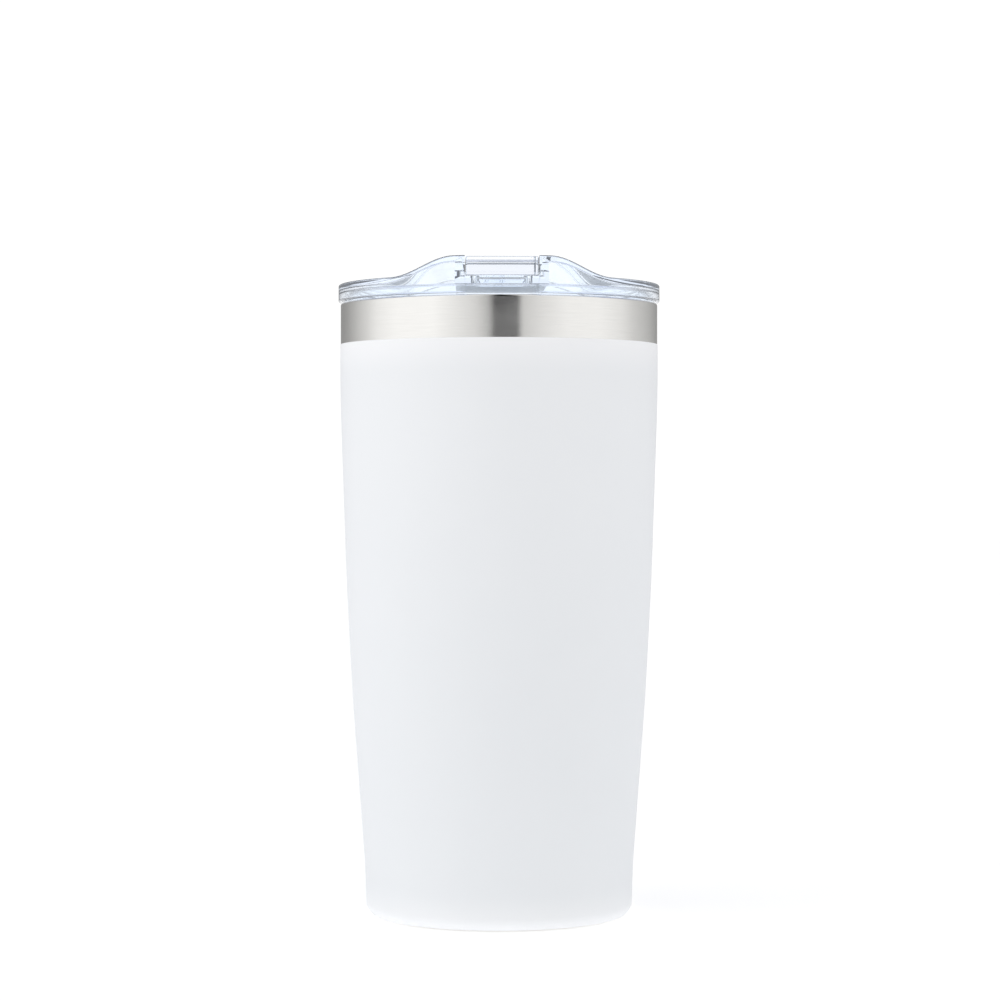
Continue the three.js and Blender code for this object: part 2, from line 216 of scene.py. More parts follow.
def as_object(bm: bmesh.types.BMesh, name: str) -> bpy.types.Object:
    """Put a finished bmesh into a linked object at the origin.

    Args:
        bm: Mesh to hand over; it is freed.
        name: Name of the object.

    Returns:
        The new object.
    """
    mesh = bpy.data.meshes.new(name)
    bm.to_mesh(mesh)
    bm.free()
    obj = bpy.data.objects.new(name, mesh)
    bpy.context.scene.collection.objects.link(obj)
    return obj


def solid_volume(mesh: bpy.types.Mesh) -> float:
    """Measure a closed mesh.

    Args:
        mesh: Mesh to measure.

    Returns:
        Its volume in cubic metres, or 0 if it is not closed.
    """
    bm = bmesh.new()
    bm.from_mesh(mesh)
    volume = bm.calc_volume(signed=True) if all(edge.is_manifold for edge in bm.edges) else 0.0
    bm.free()
    return volume


def carved(body: bpy.types.Object, helper: bpy.types.Object, operation: str) -> bpy.types.Mesh:
    """Run one boolean and return its result as a new mesh.

    Args:
        body: Object to change; its own mesh stays as it is.
        helper: Object that holds the tool.
        operation: "DIFFERENCE" or "UNION".

    Returns:
        The result.
    """
    modifier = body.modifiers.new("carve", "BOOLEAN")
    modifier.operation = operation
    modifier.solver = "EXACT"
    modifier.object = helper
    depsgraph = bpy.context.evaluated_depsgraph_get()
    result = bpy.data.meshes.new_from_object(body.evaluated_get(depsgraph))
    body.modifiers.clear()
    return result


def carve(body: bpy.types.Object, tools: list[bmesh.types.BMesh], operation: str) -> None:
    """Cut tools out of a body, or weld them on, one at a time.

    A cut whose result is not a sound solid is made again with the tool moved by a hair.

    Args:
        body: Object to change.
        tools: Closed meshes; they are used up.
        operation: "DIFFERENCE" or "UNION".

    Raises:
        RuntimeError: If a cut keeps failing.
    """
    for i, tool in enumerate(tools):
        helper = as_object(tool, f"tool_{i}")
        before = solid_volume(body.data)
        for attempt in range(CARVE_TRIES):
            result = carved(body, helper, operation)
            after = solid_volume(result)
            if (0.0 < after < before) if operation == "DIFFERENCE" else (after > before):
                break
            log.warning("%s: cut %d made again, volume %.3g after %.3g", body.name, i, after, before)
            bpy.data.meshes.remove(result)
            helper.data.transform(Matrix.Translation((HAIR, HAIR, HAIR)))
        else:
            raise RuntimeError(f"{body.name}: cut {i} does not give a sound solid")
        rough, body.data = body.data, result
        mesh = helper.data
        bpy.data.objects.remove(helper)
        bpy.data.meshes.remove(mesh)
        bpy.data.meshes.remove(rough)


def round_where(
    obj: bpy.types.Object,
    wanted: Callable[[bmesh.types.BMEdge], bool],
    width: float,
    segments: int = 3,
) -> None:
    """Round the edges of an object that a test picks out.

    Args:
        obj: Object to change.
        wanted: Test for one edge.
        width: Reach of the rounding in mm.
        segments: Facets across it.
    """
    bm = bmesh.new()
    bm.from_mesh(obj.data)
    bmesh.ops.remove_doubles(bm, verts=bm.verts[:], dist=WELD)
    soften(bm, [edge for edge in bm.edges if wanted(edge)], width, segments)
    bmesh.ops.dissolve_degenerate(bm, edges=bm.edges[:], dist=WELD)
    bm.to_mesh(obj.data)
    bm.free()


def shade(obj: bpy.types.Object, crease: float = 32.0) -> None:
    """Shade an object smooth, with creases kept and large faces kept even.

    Args:
        obj: Object to shade.
        crease: Angle in degrees past which an edge stays sharp.
    """
    obj.data.shade_smooth()
    obj.data.set_sharp_from_angle(angle=math.radians(crease))
    even = obj.modifiers.new("even_faces", "WEIGHTED_NORMAL")
    even.mode = "FACE_AREA"
    even.weight = 100
    even.keep_sharp = True
    depsgraph = bpy.context.evaluated_depsgraph_get()
    result = bpy.data.meshes.new_from_object(obj.evaluated_get(depsgraph))
    obj.modifiers.clear()
    rough, obj.data = obj.data, result
    bpy.data.meshes.remove(rough)


# ---------------------------------------------------------------- shader helpers


class Direction(Enum):
    """Which way the fine lines of a worked metal run."""

    AROUND_AXIS = "circles round the cup's axis"
    ALONG_STRAP = "straight lines along X"


class Sheet:
    """One material's node tree, with short ways to add and join nodes."""

    PATTERN_LOW = 0.25
    PATTERN_HIGH = 0.75

    def __init__(self, name: str) -> None:
        """Start an empty material with an output.

        Args:
            name: Name of the material.
        """
        self.material = bpy.data.materials.new(name)
        self.material.use_nodes = True
        self.nodes = self.material.node_tree.nodes
        self.links = self.material.node_tree.links
        self.nodes.clear()
        self.output = self.nodes.new("ShaderNodeOutputMaterial")

    def add(self, kind: str, settings: dict | None = None, **values: object) -> bpy.types.Node:
        """Add a node.

        Args:
            kind: Node type, without the leading "ShaderNode".
            settings: Properties of the node.
            **values: Sockets by name, with "_" for a space: a number, a colour or an output.

        Returns:
            The node.
        """
        node = self.nodes.new(f"ShaderNode{kind}")
        for key, value in (settings or {}).items():
            setattr(node, key, value)
        for key, value in values.items():
            self.put(node.inputs[key.replace("_", " ")], value)
        return node

    def put(self, socket: bpy.types.NodeSocket, value: object) -> None:
        """Set a socket to a value, or join an output to it."""
        if isinstance(value, bpy.types.NodeSocket):
            self.links.new(value, socket)
        else:
            socket.default_value = value

    def math(self, operation: str, first: object, second: object = 0.0) -> bpy.types.NodeSocket:
        """Add a Math node and return its output.

        Args:
            operation: Name of the operation.
            first: Number or output.
            second: Number or output.

        Returns:
            The output socket.
        """
        node = self.add("Math", {"operation": operation})
        self.put(node.inputs[0], first)
        self.put(node.inputs[1], second)
        return node.outputs[0]

    def coords(self) -> bpy.types.NodeSocket:
        """Return the Object coordinates."""
        return self.add("TexCoord").outputs["Object"]

    def spread(self, source: bpy.types.NodeSocket, low: float, high: float) -> bpy.types.NodeSocket:
        """Stretch a 0..1 pattern to a range.

        Args:
            source: Output that gives the pattern.
            low: Value where the pattern is at PATTERN_LOW.
            high: Value where it is at PATTERN_HIGH.

        Returns:
            The stretched output.
        """
        node = self.add("MapRange", Value=source, To_Min=low, To_Max=high)
        node.inputs["From Min"].default_value = self.PATTERN_LOW
        node.inputs["From Max"].default_value = self.PATTERN_HIGH
        return node.outputs["Result"]

    def noise(
        self,
        vector: bpy.types.NodeSocket,
        scale: float,
        detail: float = 2.0,
    ) -> bpy.types.NodeSocket:
        """Add a Noise Texture and return its value.

        Args:
            vector: Coordinates.
            scale: Cells per unit.
            detail: Octaves.

        Returns:
            The value output.
        """
        return self.add("TexNoise", Vector=vector, Scale=scale, Detail=detail).outputs["Fac"]

    def bump(
        self,
        height: bpy.types.NodeSocket,
        depth: float,
        strength: float = 1.0,
    ) -> bpy.types.NodeSocket:
        """Turn a height into a normal.

        Args:
            height: Height pattern, 0 to 1.
            depth: What 1 stands for, in mm.
            strength: Share of the effect.

        Returns:
            The normal output.
        """
        return self.add("Bump", Height=height, Distance=depth * MM, Strength=strength).outputs["Normal"]

    def tint(
        self,
        factor: bpy.types.NodeSocket,
        low: tuple[float, float, float],
        high: tuple[float, float, float],
    ) -> bpy.types.NodeSocket:
        """Mix two colours by a pattern.

        Args:
            factor: Pattern, 0 to 1.
            low: Colour at 0.
            high: Colour at 1.

        Returns:
            The colour output.
        """
        node = self.add("Mix", {"data_type": "RGBA"})
        self.put(node.inputs[0], factor)
        node.inputs[6].default_value = (*low, 1.0)
        node.inputs[7].default_value = (*high, 1.0)
        return node.outputs[2]

    def round_coords(self, along: float, around: float) -> bpy.types.NodeSocket:
        """Unroll the surface round the cup's axis, so that a pattern stretches into rings.

        Args:
            along: Scale of the pattern across the rings.
            around: Scale round the axis.

        Returns:
            A vector of (across the rings, cosine, sine), scaled.
        """
        parts = self.add("SeparateXYZ", Vector=self.coords())
        x, y, z = parts.outputs
        squares = self.math("ADD", self.math("MULTIPLY", x, x), self.math("MULTIPLY", y, y))
        radius = self.math("SQRT", squares)
        across = self.math("MULTIPLY", self.math("ADD", radius, z), along)
        guard = self.math("MAXIMUM", radius, 0.1 * MM)
        cosine = self.math("MULTIPLY", self.math("DIVIDE", x, guard), around)
        sine = self.math("MULTIPLY", self.math("DIVIDE", y, guard), around)
        return self.add("CombineXYZ", X=across, Y=cosine, Z=sine).outputs["Vector"]

    def finish(self, shader: bpy.types.Node) -> bpy.types.Material:
        """Join the shader to the output and return the material."""
        self.links.new(shader.outputs[0], self.output.inputs["Surface"])
        return self.material


@dataclass(frozen=True)
class WorkedSteel:
    """Bare stainless steel, brushed or turned."""

    name: str
    bright: tuple[float, float, float] = (0.82, 0.815, 0.8)
    dull: tuple[float, float, float] = (0.77, 0.765, 0.75)
    roughness: float = 0.15
    anisotropy: float = 0.86
    direction: Direction = Direction.AROUND_AXIS
    roughness_swing: float = 0.02
    line_scale: float = 9000.0
    line_stretch: float = 6.0
    line_depth: float = 0.006
    line_share: float = 0.5
    haze_scale: float = 120.0
    haze_stretch: float = 4.0
    strap_line_scale: float = 60.0
    strap_haze_scale: float = 300.0
    highlight_turn: float = 0.25

    def build(self) -> bpy.types.Material:
        """Make the material.

        Returns:
            The finished material.
        """
        sheet = Sheet(self.name)
        if self.direction is Direction.AROUND_AXIS:
            lines = sheet.round_coords(self.line_scale, self.line_stretch)
            blotches = sheet.round_coords(self.haze_scale, self.haze_stretch)
        else:
            along = (self.strap_line_scale, self.line_scale, self.line_scale)
            even = (self.strap_haze_scale,) * 3
            lines = sheet.add("Mapping", {}, Vector=sheet.coords(), Scale=along).outputs["Vector"]
            blotches = sheet.add("Mapping", {}, Vector=sheet.coords(), Scale=even).outputs["Vector"]
        grain = sheet.noise(lines, 1.0, 3.0)
        haze = sheet.noise(blotches, 1.0, 2.0)
        shader = sheet.add(
            "BsdfPrincipled",
            Base_Color=sheet.tint(sheet.spread(grain, 0.0, 1.0), self.dull, self.bright),
            Metallic=1.0,
            Roughness=sheet.spread(
                haze,
                self.roughness - self.roughness_swing,
                self.roughness + self.roughness_swing,
            ),
            Anisotropic=self.anisotropy if self.direction is Direction.AROUND_AXIS else 0.0,
            Anisotropic_Rotation=self.highlight_turn,
            Normal=sheet.bump(grain, self.line_depth, self.line_share),
        )
        if self.direction is Direction.AROUND_AXIS:
            tangent = sheet.add("Tangent", {"direction_type": "RADIAL", "axis": "Z"})
            sheet.put(shader.inputs["Tangent"], tangent.outputs[0])
        return sheet.finish(shader)


@dataclass(frozen=True)
class PowderFinish:
    """Smooth satin powder coat with faint orange peel, with painted highlight that makes it paler towards
    the top and near its two edges.
    """

    name: str = "white_powder_coat"
    light: tuple[float, float, float] = (0.93, 0.937, 0.955)
    shade: tuple[float, float, float] = (0.808, 0.83, 0.856)
    roughness: float = 0.5
    low_edge: float = 1.0
    high_edge: float = 156.6
    edge_reach: float = 10.0
    # The next two values set how strong the painted highlight is near the coat's edges and towards its
    # top.
    edge_highlight: float = 0.5
    rise: float = 0.36
    peel_scale: float = 1400.0
    peel_depth: float = 0.006
    peel_share: float = 0.5
    grit_scale: float = 6000.0
    grit_share: float = 0.3
    drift_scale: float = 45.0
    drift_share: float = 0.08
    roughness_swing: float = 0.04
    ior: float = 1.45

    def build(self) -> bpy.types.Material:
        """Make the material.

        Returns:
            The finished material.
        """
        sheet = Sheet(self.name)
        coords = sheet.coords()
        peel = sheet.noise(coords, self.peel_scale, 2.0)
        grit = sheet.noise(coords, self.grit_scale, 1.0)
        drift = sheet.noise(coords, self.drift_scale, 2.0)
        height = sheet.math("ADD", peel, sheet.math("MULTIPLY", grit, self.grit_share))
        z = sheet.add("SeparateXYZ", Vector=coords).outputs["Z"]
        # Painted light: the colour is pushed towards the pale tone up the height and near the coat's lower
        # and upper edges, standing in for how the light falls on it; the drift noise added after it is the
        # coat's own random tone.
        upward = self.ramp(sheet, z, self.low_edge, self.high_edge, self.rise)
        below = self.ramp(sheet, z, self.low_edge + self.edge_reach, self.low_edge, 1.0)
        above = self.ramp(sheet, z, self.high_edge - self.edge_reach, self.high_edge, 1.0)
        edges = sheet.math("MULTIPLY", sheet.math("MAXIMUM", below, above), self.edge_highlight)
        painted_highlight = sheet.math("ADD", upward, edges)
        share = sheet.math("ADD", painted_highlight, sheet.spread(drift, 0.0, self.drift_share))
        shader = sheet.add(
            "BsdfPrincipled",
            Base_Color=sheet.tint(share, self.shade, self.light),
            Roughness=sheet.spread(
                grit,
                self.roughness - self.roughness_swing,
                self.roughness + self.roughness_swing,
            ),
            IOR=self.ior,
            Normal=sheet.bump(height, self.peel_depth, self.peel_share),
        )
        return sheet.finish(shader)

    @staticmethod
    def ramp(
        sheet: Sheet,
        height: bpy.types.NodeSocket,
        start: float,
        end: float,
        peak: float,
    ) -> bpy.types.NodeSocket:
        """Raise a value smoothly with height.

        Args:
            sheet: Node tree to add to.
            height: Output that gives the height in metres.
            start: Height in mm where the value is 0.
            end: Height in mm where it reaches its peak.
            peak: The peak.

        Returns:
            The value output.
        """
        node = sheet.add("MapRange", {"interpolation_type": "SMOOTHSTEP"}, Value=height, To_Max=peak)
        node.inputs["From Min"].default_value = start * MM
        node.inputs["From Max"].default_value = end * MM
        return node.outputs["Result"]


@dataclass(frozen=True)
class ClearMoulding:
    """Clear moulded plastic or silicone, with a trace of flow and fine wipe marks.

    A smoothest value below 0 leaves most of the surface perfectly smooth. The faint glow stands
    for the light that is scattered inside.
    """

    name: str
    tint: tuple[float, float, float] = (0.955, 0.98, 1.0)
    deep: tuple[float, float, float] = (0.94, 0.973, 1.0)
    smoothest: float = -0.06
    roughness: float = 0.02
    ior: float = 1.54
    transmission: float = 1.0
    glow: tuple[float, float, float] = (0.84, 0.9, 1.0)
    glow_strength: float = 0.03
    ripple: float = 0.004
    ripple_share: float = 0.4
    flow_scale: float = 90.0
    wipe_scale: float = 900.0
    absorbed: tuple[float, float, float] = (0.52, 0.7, 1.0)
    density: float = 4.0

    def build(self) -> bpy.types.Material:
        """Make the material.

        Returns:
            The finished material.
        """
        sheet = Sheet(self.name)
        coords = sheet.coords()
        flow = sheet.noise(coords, self.flow_scale, 1.0)
        wipe = sheet.noise(coords, self.wipe_scale, 3.0)
        shader = sheet.add(
            "BsdfPrincipled",
            Base_Color=sheet.tint(sheet.spread(flow, 0.0, 1.0), self.deep, self.tint),
            Roughness=sheet.spread(wipe, self.smoothest, self.roughness),
            IOR=self.ior,
            Transmission_Weight=self.transmission,
            Emission_Color=(*self.glow, 1.0),
            Emission_Strength=self.glow_strength,
            Normal=sheet.bump(flow, self.ripple, self.ripple_share),
        )
        depth = sheet.add("VolumeAbsorption", Color=(*self.absorbed, 1.0), Density=self.density)
        sheet.links.new(depth.outputs[0], sheet.output.inputs["Volume"])
        return sheet.finish(shader)


@dataclass(frozen=True)
class GrainFinish:
    """Foil, sintered pellet or glass bead: one colour broken up by a fine grain."""

    name: str
    light: tuple[float, float, float]
    dark: tuple[float, float, float]
    metallic: float
    roughness: float
    grain: float
    depth: float
    depth_share: float = 0.6
    patch_size: float = 8.0
    roughness_swing: float = 0.2

    def build(self) -> bpy.types.Material:
        """Make the material.

        Returns:
            The finished material.
        """
        sheet = Sheet(self.name)
        coords = sheet.coords()
        grain = sheet.noise(coords, self.grain, 4.0)
        patch = sheet.noise(coords, self.grain / self.patch_size, 2.0)
        swing = self.roughness * self.roughness_swing
        shader = sheet.add(
            "BsdfPrincipled",
            Base_Color=sheet.tint(sheet.spread(grain, 0.0, 1.0), self.dark, self.light),
            Metallic=self.metallic,
            Roughness=sheet.spread(patch, self.roughness - swing, self.roughness + swing),
            Normal=sheet.bump(grain, self.depth, self.depth_share),
        )
        return sheet.finish(shader)


RIM_STEEL = WorkedSteel("rim_steel")
LINER_STEEL = WorkedSteel(
    "polished_liner",
    bright=(0.93, 0.93, 0.925),
    dull=(0.9, 0.9, 0.895),
    roughness=0.38,
    anisotropy=0.2,
    line_scale=5000.0,
    line_depth=0.002,
)
BASE_STEEL = WorkedSteel("base_steel", roughness=0.32, anisotropy=0.7, line_scale=4500.0, line_depth=0.008)
STRAP_STEEL = WorkedSteel("strap_steel", roughness=0.3, direction=Direction.ALONG_STRAP)
POWDER = PowderFinish()
LID_PLASTIC = ClearMoulding("clear_plastic")
SLIDER_PLASTIC = ClearMoulding(
    "slider_plastic",
    tint=(0.99, 0.995, 1.0),
    deep=(0.98, 0.99, 1.0),
    density=2.0,
)
SILICONE = ClearMoulding(
    "clear_silicone",
    tint=(0.97, 0.98, 0.99),
    deep=(0.94, 0.955, 0.97),
    smoothest=0.25,
    roughness=0.4,
    ior=1.41,
    transmission=0.5,
)
FOIL = GrainFinish("copper_foil", (0.86, 0.55, 0.38), (0.7, 0.42, 0.28), 1.0, 0.22, 700.0, 0.05)
PELLET = GrainFinish("getter_alloy", (0.24, 0.24, 0.245), (0.14, 0.14, 0.145), 0.7, 0.7, 2500.0, 0.04)
BEAD = GrainFinish("brazing_glass", (0.045, 0.05, 0.055), (0.02, 0.023, 0.026), 0.0, 0.18, 900.0, 0.02)


Finish = WorkedSteel | PowderFinish | ClearMoulding | GrainFinish


@cache
def material_of(finish: Finish) -> bpy.types.Material:
    """Build a finish once.

    Args:
        finish: The finish.

    Returns:
        Its material.
    """
    return finish.build()


def dress(obj: bpy.types.Object, material: bpy.types.Material) -> None:
    """Give an object one material.

    Args:
        obj: New piece or carried-over node.
        material: Material for every slot.
    """
    if not obj.material_slots:
        obj.data.materials.append(material)
    for slot in obj.material_slots:
        slot.material = material


# ---------------------------------------------------------------- the cup


@dataclass
class Cup:
    """The double-walled body: shell, coat, liner and the closed base."""

    top: float
    mouth_radius: float
    lip_rounding: float = 0.6
    lip_thickness: float = 0.8
    band_height: float = 11.2
    corner_radius: float = 4.0
    coat_end_angle: float = -54.0
    coat_gap: float = 0.02
    coat_thickness: float = 0.12
    coat_edge: float = 0.05
    shell_wall: float = 0.5
    liner_wall: float = 0.4
    liner_mouth_inset: float = 1.5
    weld_gap: float = 0.15
    vacuum_gap: float = 2.6
    mouth_depth: float = 15.0
    neck_height: float = 3.0
    floor_height: float = 10.0
    floor_corner: float = 8.0
    foot_ring_width: float = 1.4
    foot_flange: float = 3.2
    foot_heel: float = 0.9
    foot_fold: float = 0.5
    lip_inner_edge: float = 0.12
    stations: list[tuple[float, float, float]] = field(
        default_factory=lambda: [
            (0.0, 7.24, 0.0),
            (14.0, 6.8, 4.0),
            (60.0, 3.38, 9.0),
            (92.0, 1.72, 9.0),
            (143.0, 0.0, 9.0),
            (167.8, 0.0, 0.0),
        ]
    )

    def slope(self, i: int) -> float:
        """Return how fast the radius grows between two stations of the flank."""
        low, high = self.stations[i], self.stations[i + 1]
        return (low[1] - high[1]) / (high[0] - low[0])

    def flank(self, height: float) -> float:
        """Give the outside radius of the steel at a height.

        Args:
            height: Height above the floor in mm.

        Returns:
            The radius in mm, with a smooth bend at each station.
        """
        for i, (centre, inset, blend) in enumerate(self.stations[1:-1], start=1):
            offset = height - centre
            if abs(offset) <= blend:
                below, above = self.slope(i - 1), self.slope(i)
                bend = (above - below) / (4 * blend)
                mean = (below + above) / 2
                return self.mouth_radius - inset + mean * offset + bend * (offset**2 + blend**2)
        i = max(i for i, station in enumerate(self.stations[:-1]) if i == 0 or height >= station[0])
        centre, inset, _ = self.stations[i]
        return self.mouth_radius - inset + self.slope(i) * (height - centre)

    def wall(self, bottom: float, top: float, inset: float, step: float = 3.0) -> list[Point]:
        """Follow the flank upwards.

        Args:
            bottom: Lowest height in mm.
            top: Highest height in mm.
            inset: How far inside the outer steel face, in mm.
            step: Largest rise between points in mm.

        Returns:
            The points from the bottom up.
        """
        count = max(1, math.ceil((top - bottom) / step))
        heights = [bottom + (top - bottom) * i / count for i in range(count + 1)]
        return [(self.flank(height) - inset, height) for height in heights]

    @property
    def corner_centre(self) -> Point:
        """Centre of the rounded bottom corner."""
        return (self.flank(self.corner_radius) - self.corner_radius, self.corner_radius)

    @property
    def ring_inner(self) -> float:
        """Inner radius of the flat ring that the cup stands on."""
        return self.corner_centre[0] - self.foot_ring_width

    def shell(self) -> bpy.types.Object:
        """Build the outer shell with its rolled lip, bottom corner and foot ring.

        Returns:
            The shell.
        """
        lip_centre = (self.mouth_radius - self.lip_rounding, self.top - self.lip_rounding)
        inner = self.mouth_radius - self.liner_mouth_inset + self.weld_gap
        edge = self.lip_inner_edge
        outside = [
            *arc(self.corner_centre, self.corner_radius, -90, 0, 12),
            *self.wall(self.corner_radius, lip_centre[1], 0.0)[1:-1],
            *arc(lip_centre, self.lip_rounding, 0, 90, 8),
            *arc((inner + edge, self.top - edge), edge, 90, 180, 3),
        ]
        under = self.top - self.lip_thickness
        ring = self.ring_inner
        fold, heel = self.foot_fold, self.foot_heel
        inside = [
            (inner, under),
            *reversed(self.wall(self.corner_radius, under - self.shell_wall, self.shell_wall)[1:]),
            *arc(self.corner_centre, self.corner_radius - self.shell_wall, 0, -90, 8),
            *arc((ring + self.shell_wall + fold, self.shell_wall + fold), fold, -90, -180, 4),
            (ring + self.shell_wall, self.foot_flange),
            (ring, self.foot_flange),
            *arc((ring + heel, heel), heel, 180, 270, 5),
        ]
        return as_object(spun([*outside, *inside]), "shell_and_lip")

    def coat(self) -> bpy.types.Object:
        """Build the coat, with a rounded edge under the bare band.

        Returns:
            The coat.
        """
        outer = self.coat_gap + self.coat_thickness
        top = self.top - self.band_height
        edge = self.coat_edge
        start = self.wall(self.corner_radius, top - edge, -outer)
        profile = [
            *arc(self.corner_centre, self.corner_radius + outer, self.coat_end_angle, 0, 8),
            *start[1:-1],
            *arc((start[-1][0] - edge, top - edge), edge, 0, 90, 3),
            *reversed(self.wall(self.corner_radius, top, -self.coat_gap)[1:]),
            *arc(self.corner_centre, self.corner_radius + self.coat_gap, 0, self.coat_end_angle, 8),
        ]
        return as_object(spun(profile), "coat_skin")

    def liner(self) -> bpy.types.Object:
        """Build the drawn inner cup.

        Returns:
            The liner.
        """
        offset = self.shell_wall + self.vacuum_gap
        corner_top = self.floor_height + self.floor_corner
        centre = self.flank(corner_top) - offset - self.liner_wall - self.floor_corner
        neck_top = self.top - self.mouth_depth
        neck_bottom = neck_top - self.neck_height
        mouth = self.mouth_radius - self.liner_mouth_inset

        def side(inset: float) -> list[Point]:
            """Follow the liner's side upwards, moved in by a wall."""
            low = self.wall(corner_top, neck_bottom, offset + inset, 6.0)
            return [*low, *self.neck(low[-1], (mouth - inset, neck_top)), (mouth - inset, self.top)]

        profile = [
            (0.0, self.floor_height - self.liner_wall),
            *arc((centre, corner_top), self.floor_corner + self.liner_wall, -90, 0, 10),
            *side(0.0)[1:],
            *reversed(side(self.liner_wall)),
            *list(reversed(arc((centre, corner_top), self.floor_corner, -90, 0, 10)))[1:],
            (0.0, self.floor_height),
        ]
        return as_object(spun(profile, closed=False), "drawn_liner")

    @staticmethod
    def neck(low: Point, high: Point, steps: int = 8) -> list[Point]:
        """Join two points with a soft S, ends left out at the low side.

        Args:
            low: Lower point in mm.
            high: Upper point in mm.
            steps: Number of chords.

        Returns:
            The points after the lower one, up to the higher one.
        """
        shares = [i / steps for i in range(1, steps + 1)]
        return [
            (
                low[0] + (high[0] - low[0]) * (1 - math.cos(math.pi * share)) / 2,
                low[1] + (high[1] - low[1]) * share,
            )
            for share in shares
        ]

    def build(self) -> list[bpy.types.Object]:
        """Build, dress and bind the cup's new pieces.

        Returns:
            The pieces.
        """
        base_low, base_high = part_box("base_cap")
        cover_low, cover_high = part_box("base_cover")
        base = Base(
            rim=base_high[0] / MM,
            plate=base_low[2] / MM,
            rim_top=base_high[2] / MM,
            cover=cover_high[0] / MM,
            cover_low=cover_low[2] / MM,
            cover_high=cover_high[2] / MM,
        )
        pieces = [
            (self.shell(), "outer_shell", "brushed_steel", RIM_STEEL),
            (self.coat(), "powder_coat", "white_powder_coat", POWDER),
            (self.liner(), "inner_liner", "liner_steel", LINER_STEEL),
            (base.cap(), "base_cap", "base_steel", BASE_STEEL),
            (base.cover_disc(), "base_cover", "base_steel", BASE_STEEL),
        ]
        return [bind(obj, node, finish, "cup") for obj, node, slot, finish in pieces]


@dataclass
class Base:
    """The pan that closes the shell and the disc over its pump-out dimple."""

    rim: float
    plate: float
    rim_top: float
    cover: float
    cover_low: float
    cover_high: float
    wall: float = 0.6
    dimple_radius: float = 8.0
    dimple_depth: float = 1.2
    hole_radius: float = 1.2
    bend: float = 0.5
    inner_bend: float = 0.2
    cover_edge: float = 0.15
    cover_rings: tuple[float, ...] = (9.0, 5.0)
    cover_ring_half: float = 0.6

    def cap(self) -> bpy.types.Object:
        """Build the pan with its upturned rim and dimple.

        Returns:
            The pan.
        """
        top = self.plate + self.wall
        slope = self.dimple_radius - self.dimple_depth
        inner = self.rim - self.wall
        profile = [
            (self.hole_radius, self.plate + self.dimple_depth),
            (slope, self.plate + self.dimple_depth),
            (self.dimple_radius, self.plate),
            *arc((self.rim - self.bend, self.plate + self.bend), self.bend, -90, 0, 5),
            (self.rim, self.rim_top),
            (inner, self.rim_top),
            *arc((inner - self.inner_bend, top + self.inner_bend), self.inner_bend, 0, -90, 3),
            (self.dimple_radius, top),
            (slope, top + self.dimple_depth),
            (self.hole_radius, top + self.dimple_depth),
        ]
        return as_object(spun(profile), "base_pan")

    def cover_disc(self) -> bpy.types.Object:
        """Build the cover with a rounded edge and two shallow pressed rings.

        Returns:
            The cover.
        """
        edge, half = self.cover_edge, self.cover_ring_half
        low, high = self.cover_low, self.cover_high
        under = [(0.0, low)]
        for inset in self.cover_rings:
            radius = self.cover - inset
            under += [
                (radius - half, low),
                (radius - half / 2, low + edge),
                (radius + half / 2, low + edge),
                (radius + half, low),
            ]
        profile = [
            *under,
            *arc((self.cover - edge, low + edge), edge, -90, 0, 3),
            *arc((self.cover - edge, high - edge), edge, 0, 90, 3),
            (0.0, high),
        ]
        return as_object(spun(profile, closed=False), "base_disc")


def bind(
    obj: bpy.types.Object,
    node: str,
    finish: Finish,
    body: str,
) -> bpy.types.Object:
    """Dress a new piece and tie it to the frame in place of a node.

    Args:
        obj: The piece.
        node: Node that it stands for.
        finish: Finish that it gets.
        body: Body that it rides on.

    Returns:
        The piece.
    """
    shade(obj)
    dress(obj, material_of(finish))
    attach(obj, body)
    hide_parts(node)
    log.info("%s stands for %s on %s: %d faces", obj.name, node, body, len(obj.data.polygons))
    return obj


# ---------------------------------------------------------------- the lid


